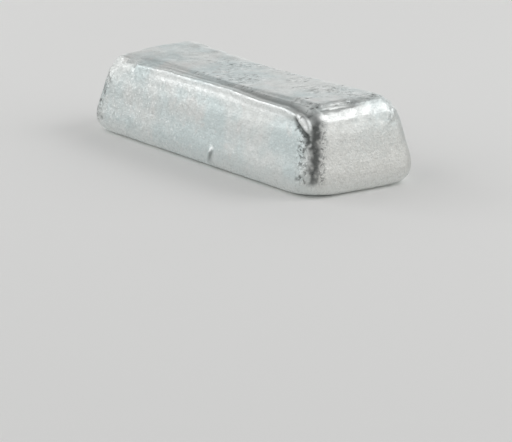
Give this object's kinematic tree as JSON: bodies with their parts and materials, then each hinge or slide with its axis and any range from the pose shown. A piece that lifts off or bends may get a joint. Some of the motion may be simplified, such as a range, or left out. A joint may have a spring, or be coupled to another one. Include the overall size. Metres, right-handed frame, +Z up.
{
  "type": "aluminium ingot",
  "caption": "Tapered cast aluminium ingot with rounded edges, lying on its wide face, with a stepped swell and a shallow trough on its top",
  "frame": {"origin": "middle of the wide face that it rests on", "axes": "+X along the ingot to the near end, +Y across it to the back, +Z up through its thickness"},
  "size_m": [0.2004, 0.0725, 0.0457],
  "materials": {
    "aluminium": "as-cast aluminium, frosted and slightly uneven skin, duller patches and brighter worn edges"
  },
  "bodies": {
    "root": {"ingot": "aluminium"}
  },
  "joints": []
}
